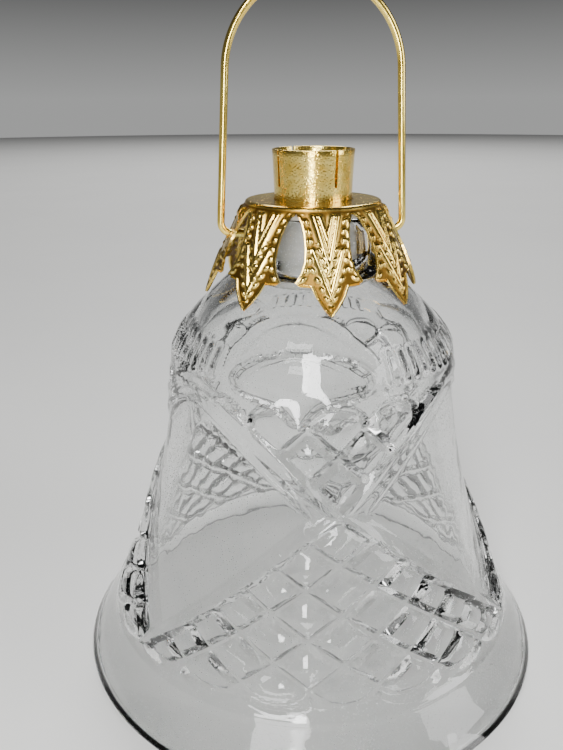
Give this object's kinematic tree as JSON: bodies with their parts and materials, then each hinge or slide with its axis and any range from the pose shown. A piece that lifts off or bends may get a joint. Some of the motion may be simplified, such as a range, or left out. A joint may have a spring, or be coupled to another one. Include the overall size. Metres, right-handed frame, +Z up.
{
  "type": "glass bell ornament",
  "caption": "Bell in clear pressed glass with a cut lattice pattern, a leaf-shaped brass cap, a slit lamp sleeve through the neck and a hinged wire bail.",
  "frame": {"origin": "centre of the rim, on the plane that the rim stands on", "axes": "+Z up along the bell's axis, +X along the bail's hinge, -Y the front"},
  "size_m": [0.07, 0.07, 0.0944],
  "materials": {
    "clear_glass": "pressed and fire polished, clear",
    "stamped_brass": "stamped, bright on the high points and brown in the hollows",
    "gold_sleeve": "gold plated, finely pitted",
    "gold_wire": "gold plated, bright",
    "pale_rubber": "matt",
    "translucent_plastic": "milky, faintly ribbed"
  },
  "bodies": {
    "bell": {"glass_bell": "clear_glass", "leaf_cap": "stamped_brass", "socket_sleeve": "gold_sleeve", "cap_gasket": "pale_rubber", "neck_liner": "translucent_plastic"},
    "bail": {"bail_wire": "gold_wire"}
  },
  "joints": [
    {"name": "bail_swing", "type": "hinge", "parent": "bell", "child": "bail", "pos_m": [0, 0, 0.06275], "axis": [1, 0, 0], "range_deg": [-108, 108]}
  ]
}
